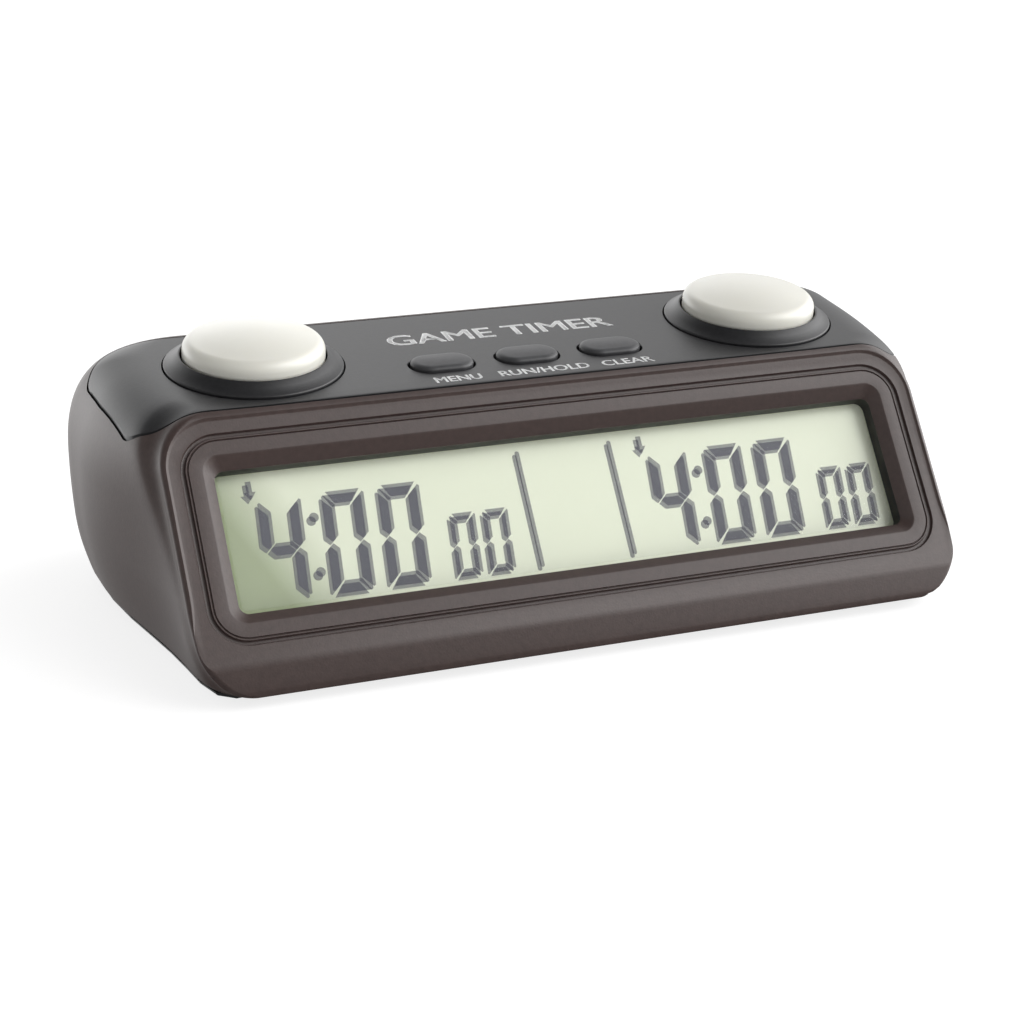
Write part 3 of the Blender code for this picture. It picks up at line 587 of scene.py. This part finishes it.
def top_panel():
    """The black top cover, with holes for the collars and keys."""
    panel = case_solid("top_panel")
    boolean(panel, cover_prism("panel_outline", -SEAM), "INTERSECT")
    boolean(panel, case_core("panel_inside", COVER_THICK))
    for side in (-1, 1):
        spot = TOP @ Matrix.Translation((side * BUTTON_X * MM, 0, 0))
        edge = COLLAR_RADIUS + 0.2
        profile = [(0, 2), (edge + 0.6, 2), (edge + 0.2, 0.3), (edge + 0.08, 0.02), (edge, -0.2),
                   (edge, -6), (0, -6)]
        boolean(panel, turned("collar_hole", profile, spot, ROUND_STEPS))
    for k in (-1, 0, 1):
        mouth = [(stadium(KEY_SIZE[0] + grow, KEY_SIZE[1] + grow), height) for grow, height in
                 ((0.7, -5.0), (0.7, -0.4), (0.85, -0.12), (1.1, 0.02), (2.0, 1.0))]
        place = TOP @ Matrix.Translation(Vector((k * KEY_X, KEY_Y, 0)) * MM)
        boolean(panel, loft("key_hole", level_loops(mouth), place))
    finish_piece(smooth(panel), "case", "black", ["top_cover"])


def cover_posts():
    """The posts under the top cover that carry the key board."""
    for k, (x, y) in enumerate((x, y) for x in (-29.0, 29.0) for y in (-9.5, 4.5)):
        profile = [(2.5, -1.2), (2.5, -15.7), (2.3, -15.9), (1.2, -15.9), (1.2, -1.4)]
        place = TOP @ Matrix.Translation(Vector((x, y, 0)) * MM)
        post = turned(f"cover_post_{k + 1}", profile, place, 32)
        finish_piece(smooth(post), "case", "black")


def screw_bosses():
    """The posts in the case that the bottom cover's screws go into."""
    for k in range(1, 5):
        low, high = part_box(f"case_screw_{k}")
        x, y = (low[0] + high[0]) / 2, (low[1] + high[1]) / 2
        profile = [(3.6, -6.4), (3.2, -6.0), (0, -6.0), (0, -9.0), (1.6, -9.2), (1.6, -21.9),
                   (3.6, -21.9)]
        boss = turned(f"screw_boss_{k}", profile, Matrix.Translation((x, y, ORIGIN.z)), 32)
        finish_piece(smooth(boss), "case", "brown")


# ---------------------------------------------------------------- display

def display_frame():
    """Black frame with a lip that rises into the window and a deep wall down to the glass."""
    outer, lip = rounded_box(66.8, 16.9, 2.0, 14), well_outline(0.26)
    lip_top = -BAND_DEPTH - CHAMFER_DEPTH - 0.2
    sections = [(outer, LCD_FACE + 0.05), (outer, -2.45), (lip, -2.45), (lip, lip_top)]
    surround = loft("display_surround", level_loops(sections), FRONT)
    opening = [(well_outline(grow), height) for grow, height in
               ((0.08, -9.0), (0.08, lip_top - 0.1), (0.12, lip_top - 0.03), (0.2, lip_top + 0.01),
                (0.5, 1.0))]
    boolean(surround, loft("opening", level_loops(opening), FRONT))
    finish_piece(smooth(surround), "case", "gloss_black", ["display_frame"])


def segment_shapes(width, height, stroke, gap):
    """The seven mitred bars of a digit, as point lists from its lower left corner."""
    middle, half = height / 2, stroke / 2
    cut = 0.26 * stroke
    top_bar = [(cut + gap, height), (width - cut - gap, height),
               (width - stroke - gap * 0.4, height - stroke), (stroke + gap * 0.4, height - stroke)]
    upright = [(0, height - cut - gap), (cut * 0.6, height - cut * 0.6 - gap),
               (stroke, height - stroke - gap), (stroke, middle + half + gap * 0.3),
               (half, middle + gap * 0.7), (0, middle + half + gap * 0.3)]
    bars = {
        "a": top_bar,
        "d": [(x, height - y) for x, y in top_bar],
        "g": [(half + gap, middle), (stroke + gap, middle + half), (width - stroke - gap, middle + half),
              (width - half - gap, middle), (width - stroke - gap, middle - half),
              (stroke + gap, middle - half)],
        "f": upright,
        "b": [(width - x, y) for x, y in upright],
    }
    for name, source in (("e", "f"), ("c", "b")):
        bars[name] = [(x, height - y) for x, y in bars[source]]
    return bars


def flat_mesh(shapes, name, height, thickness, place):
    """Thin plates of the given outlines in one piece."""
    shape = bmesh.new()
    for outline in shapes:
        low = [shape.verts.new(Vector((x, y, height)) * MM) for x, y in outline]
        high = [shape.verts.new(Vector((x, y, height + thickness)) * MM) for x, y in outline]
        shape.faces.new(low)
        shape.faces.new(high)
        for i in range(len(outline)):
            j = (i + 1) % len(outline)
            shape.faces.new((low[i], low[j], high[j], high[i]))
    return from_bmesh(name, shape, place)


DIGITS = {"0": "abcdef", "4": "bcfg"}
SLANT = 0.073
# Digit, distance from the reading's left end, width, height, stroke and lower edge
FIGURES = [("4", 0.0, 7.6, 18.1, 2.2, -10.7), ("0", 11.2, 7.6, 18.1, 2.2, -10.7),
           ("0", 21.25, 7.6, 18.1, 2.2, -10.7), ("0", 33.5, 4.75, 11.4, 1.3, -10.65),
           ("0", 39.6, 4.75, 11.4, 1.3, -10.65)]
FIGURES_LOW = -10.7
COLON_X, COLON_HEIGHTS, DOT_RADIUS = 9.5, (-6.5, 3.15), 0.85
READINGS_X = (-56.7, 15.8)               # the left ends of the two readings
DIVIDERS_X = (-7.45, 10.25)
SHADOW_SHIFT = (-0.6, -0.6)


def clock_face(x):
    """Outlines of one player's reading, 4:00 with small seconds, from its left end."""
    shapes = []
    for text, at, width, height, stroke, low in FIGURES:
        bars = segment_shapes(width, height, stroke, 0.2 if width > 6 else 0.14)
        for name in DIGITS[text]:
            shapes.append([(x + at + px + SLANT * (py + low - FIGURES_LOW), low + py)
                           for px, py in bars[name]])
    for low in COLON_HEIGHTS:
        middle = x + COLON_X + SLANT * (low - FIGURES_LOW)
        shapes.append([(middle + DOT_RADIUS * math.cos(a), low + DOT_RADIUS * math.sin(a))
                       for a in (2 * math.pi * k / 20 for k in range(20))])
    arrow = x + 0.35                     # the small arrow over the first digit
    shapes.append([(arrow - 0.5, 10.8), (arrow + 0.5, 10.8), (arrow + 0.5, 8.9), (arrow + 1.1, 8.9),
                   (arrow, 7.4), (arrow - 1.1, 8.9), (arrow - 0.5, 8.9)])
    return shapes


def display_reading():
    """Both readings in two see-through layers: the figures, and their shadow on the reflector."""
    shapes = [shape for x in READINGS_X for shape in clock_face(x)]
    for x in DIVIDERS_X:
        shapes.append(rounded_box(0.42, 10.75, 0.40, 6, x, -0.1))
    layers = (("lcd_shadow", SHADOW_SHIFT, 0.005), ("lcd_reading", (0.0, 0.0), 0.02))
    for name, shift, height in layers:
        moved = [[(x + shift[0], y + shift[1]) for x, y in shape] for shape in shapes]
        layer = flat_mesh(moved, name, LCD_FACE + height, 0.01, FRONT)
        finish_piece(layer, "case", "segment")


# ---------------------------------------------------------------- buttons and keys

def arc(centre, radius, first, last, steps):
    """Profile points on an arc, angles in degrees from the outward radius."""
    points = []
    for k in range(steps + 1):
        angle = math.radians(first + (last - first) * k / steps)
        points.append((centre[0] + radius * math.cos(angle), centre[1] + radius * math.sin(angle)))
    return points


def turn_button(side, label):
    """A player button: the fixed black collar with its cup, and the cream cap that slides in it."""
    spot = TOP @ Matrix.Translation((side * BUTTON_X * MM, 0, 0))
    cup, rim = CAP_RADIUS + 0.32, COLLAR_RADIUS - 0.35
    collar = turned(f"collar_{label}", [
        (cup, CUP_FLOOR), (cup, 1.95), *arc((cup + 0.25, 1.98), 0.25, 180, 50, 5), (cup + 1.3, 1.42),
        (rim - 0.3, 0.62), *arc((rim, 0.18), 0.35, 62, 0, 7), (COLLAR_RADIUS, -0.1),
        (COLLAR_RADIUS, -1.6), (16.4, -1.6), (16.4, -2.8), (14.4, -2.8), (14.4, -8.2), (3.3, -8.2),
        (3.3, CUP_FLOOR)], spot, ROUND_STEPS)
    finish_piece(smooth(collar), "case", "black", [f"button_collar_{label}"])

    crown = [(10.4 * k / 12, 6.6 - 1.35 * (k / 12) ** 2) for k in range(12)]
    shoulder = arc((10.45, 3.05), 2.15, 80, 0, 16)
    cap = turned(f"cap_{label}", [
        *crown, *shoulder, (CAP_RADIUS, 0.0), (CAP_RADIUS, -2.7), (12.4, -2.9), (11.3, -2.9), (11.3, 2.9),
        (10.0, 4.0), (7.0, 4.4), (7.0, 2.6), (2.9, 2.6), (2.9, -8.4), (2.2, -8.4), (2.2, -9.2),
        (2.9, -9.2), (2.9, -9.8), (2.7, -10.0), (0, -10.0)], spot, ROUND_STEPS)
    finish_piece(smooth(cap), f"{label}_button", "cream", [f"button_cap_{label}"])


def curve_mesh(curve):
    """The mesh that a curve or text makes."""
    source = bpy.data.objects.new(curve.name, curve)
    bpy.context.scene.collection.objects.link(source)
    bpy.context.view_layer.update()
    mesh = bpy.data.meshes.new_from_object(source.evaluated_get(bpy.context.evaluated_depsgraph_get()))
    bpy.data.objects.remove(source, do_unlink=True)
    return mesh


def press_spring(side, label):
    """The spring under a player button, made at one fixed length."""
    radius, wire, turns = 5.6, 0.4, 5.5
    low, high = CUP_FLOOR + 0.8, 2.0
    flat, keep = 0.12, 0.78              # the share of the coil flat at each end, and the pressed length
    curve = bpy.data.curves.new(f"spring_{label}", "CURVE")
    curve.dimensions, curve.bevel_depth, curve.use_fill_caps = "3D", wire * MM, True
    steps = 180
    spline = curve.splines.new("POLY")
    spline.points.add(steps)
    for k, point in enumerate(spline.points):
        angle, along = 2 * math.pi * turns * k / steps, k / steps
        height = low + (high - low) * min(max((along - flat) / (1 - 2 * flat), 0.0), 1.0)
        point.co = (*(Vector((radius * math.cos(angle), radius * math.sin(angle), height)) * MM), 1.0)
    spot = TOP @ Matrix.Translation((side * BUTTON_X * MM, 0, 0))
    item = add(f"spring_{label}", curve_mesh(curve), spot)
    finish_piece(smooth(item), "case", "spring", [f"button_spring_{label}"])
    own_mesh(item)


def function_key(name, body, x):
    """A rounded key with its flange under the cover and its stem down to the switch."""
    length, width = KEY_SIZE
    stem, flange, body_outline = stadium(3.6, 3.6), stadium(14.0, 9.6), stadium(length, width)
    sections = [(stem, -11.4), (stem, -2.6), (flange, -2.6), (flange, -1.7), (body_outline, -1.7),
                (body_outline, 0.15)]
    for k in range(1, 9):
        angle = math.pi / 2 * k / 8
        shrink = 1.3 * (1 - math.cos(angle))
        outline = stadium(length - 2 * shrink, width - 2 * shrink)
        sections.append((outline, 0.15 + 0.75 * math.sin(angle)))
    sections.append((stadium(length - 4.6, width - 4.6), 1.02))
    key = loft(name, level_loops(sections), TOP @ Matrix.Translation(Vector((x, KEY_Y, 0)) * MM))
    finish_piece(smooth(key, 40), body, "key", [f"key_{body[:-4]}"])


def lettering(name, text, x, y, size, width, bold):
    """Printed words on the top cover, centred at x, fitted to a width and thickened by bold."""
    curve = bpy.data.curves.new(name, "FONT")
    curve.body = text
    curve.size = size * MM
    curve.align_x = "CENTER"
    curve.extrude = 0.004 * MM
    curve.resolution_u = 4
    mesh = curve_mesh(curve)
    xs = [vertex.co.x for vertex in mesh.vertices]
    stretch = width * MM / (max(xs) - min(xs))
    words = bmesh.new()
    widen = Matrix.Diagonal((stretch, 1, 1, 1))
    for dx, dy in ((0, 0), (-bold, 0), (bold, 0), (0, -bold / 2), (0, bold / 2)):
        copied = mesh.copy()
        copied.transform(Matrix.Translation(Vector((dx, dy, 0)) * MM) @ widen)
        words.from_mesh(copied)
    words.to_mesh(mesh)
    words.free()
    item = add(name, mesh, TOP @ Matrix.Translation(Vector((x, y, 0.02)) * MM))
    finish_piece(item, "case", "ink")


# ---------------------------------------------------------------- carried-over CAD nodes

def dress_nodes():
    """Procedural materials and soft edges for the CAD nodes that stay."""
    dressed = {
        "bottom_cover": "black", "battery_door": "black", "power_slider": "black",
        "display_window": "clear", "lcd_glass": "lcd", "lcd_reflector": "reflector",
        "contact_strip_top": "elastomer", "contact_strip_bottom": "elastomer",
        "main_board": "board", "key_board": "board", "processor_blob": "resin", "crystal_can": "bright",
        "battery_contact": "bright", "power_switch": "bright", "battery_spring": "spring",
        "button_clip_left": "spring", "button_clip_right": "spring", "capacitor_1": "sleeve",
        "capacitor_2": "sleeve", "buzzer": "buzzer", "battery_cell": "battery",
        "ribbon_cable": "ribbon", "battery_lead_red": "red", "battery_lead_black": "wire",
        "buzzer_lead": "wire",
    }
    for k in range(1, 5):
        dressed[f"case_screw_{k}"] = dressed[f"board_screw_{k}"] = "screw"
        dressed[f"rubber_foot_{k}"] = "foot"
    for label in ("mode", "start_pause", "reset", "left", "right"):
        dressed[f"switch_{label}"] = "resin"
    for name, finish in dressed.items():
        item = NODES[name]
        item.data.materials.clear()
        item.data.materials.append(look(finish))
        item.data.shade_smooth()
        item.data.set_sharp_from_angle(angle=math.radians(32))
    for name, width in (("bottom_cover", 0.25), ("battery_door", 0.2), ("power_slider", 0.1)):
        soften(NODES[name], width)


# ---------------------------------------------------------------- floor, light and camera

# Soft lights in the surroundings: direction, how narrow, strength
GLOWS = [((0.0, 1.0, 0.2), 6, 1.9), ((0.2, 0.75, 0.6), 12, 0.5), ((1.0, 0.0, 0.3), 6, 4.6),
         ((0.6, -0.5, 0.64), 14, 4.6), ((-0.5, -0.6, 0.6), 10, 0.6), ((-1.0, 0.1, 0.2), 6, 0.4),
         ((-0.6, 0.8, 0.05), 16, 2.4)]
AMBIENT = 0.03


def surroundings():
    """A pale world with a few broad glows, one for each softbox."""
    world = bpy.data.worlds.new("studio")
    bpy.context.scene.world = world
    world.use_nodes = True
    tree = world.node_tree
    background = tree.nodes["Background"]
    background.inputs["Color"].default_value = (1.0, 1.0, 1.0, 1.0)
    direction = tree.nodes.new("ShaderNodeTexCoord").outputs["Generated"]

    def math_node(operation, first, second):
        node = tree.nodes.new("ShaderNodeMath")
        node.operation = operation
        tree.links.new(first, node.inputs[0])
        if isinstance(second, float):
            node.inputs[1].default_value = second
        else:
            tree.links.new(second, node.inputs[1])
        return node.outputs[0]

    total = None
    for axis, narrow, strength in GLOWS:
        toward = tree.nodes.new("ShaderNodeVectorMath")
        toward.operation = "DOT_PRODUCT"
        toward.inputs[1].default_value = Vector(axis).normalized()
        tree.links.new(direction, toward.inputs[0])
        lobe = math_node("POWER", math_node("MAXIMUM", toward.outputs["Value"], 0.0), float(narrow))
        glow = math_node("MULTIPLY", lobe, strength)
        total = math_node("ADD", glow, total if total else AMBIENT)
    tree.links.new(total, background.inputs["Strength"])


def studio():
    """A white floor, which bounces light but is not seen in the glossy plastics."""
    finish = Look("studio_floor", (0.30, 0.30, 0.30), 0.9).mottle(4, 0.01)
    finish.set("Emission Color", (1.0, 1.0, 1.0, 1.0)).set("Emission Strength", 0.80)
    shape = bmesh.new()
    bmesh.ops.create_grid(shape, x_segments=2, y_segments=2, size=3.0)
    floor = from_bmesh("studio_floor", shape, Matrix.Identity(4))
    floor.data.materials.append(finish.material)
    floor.visible_glossy = False
    surroundings()

    settings = bpy.context.scene.view_settings
    settings.view_transform = "Standard"
    settings.look = "None"
    settings.exposure = 0.0


def camera():
    """The view from the front left and above."""
    azimuth, elevation, distance = math.radians(-21.82), math.radians(18.45), 0.3779
    target = ORIGIN + Vector((-12.3, 0.0, -1.7)) * MM
    back = Vector((math.sin(azimuth) * math.cos(elevation), -math.cos(azimuth) * math.cos(elevation),
                   math.sin(elevation)))
    data = bpy.data.cameras.new("camera")
    data.lens, data.sensor_width = 76.84, 36.0
    data.clip_start = 0.01
    eye = bpy.data.objects.new("camera", data)
    bpy.context.scene.collection.objects.link(eye)
    eye.location = target + back * distance
    eye.rotation_euler = (-back).to_track_quat("-Z", "Y").to_euler()
    bpy.context.scene.camera = eye


case_body()
top_panel()
cover_posts()
screw_bosses()
display_frame()
display_reading()
for button_side, button_label in ((-1, "left"), (1, "right")):
    turn_button(button_side, button_label)
    press_spring(button_side, button_label)
for key_body, key_x in (("mode_key", -KEY_X), ("start_pause_key", 0.0), ("reset_key", KEY_X)):
    function_key(f"{key_body}_top", key_body, key_x)
lettering("title_words", "GAME TIMER", -0.4, 2.5, 6.9, 44.0, 0.14)
lettering("menu_words", "MENU", 0.5 - KEY_X, -16.3, 3.4, 8.6, 0.07)
lettering("run_words", "RUN/HOLD", 0.5, -16.3, 3.4, 17.1, 0.07)
lettering("clear_words", "CLEAR", 0.3 + KEY_X, -16.3, 3.4, 9.9, 0.07)
dress_nodes()
studio()
camera()
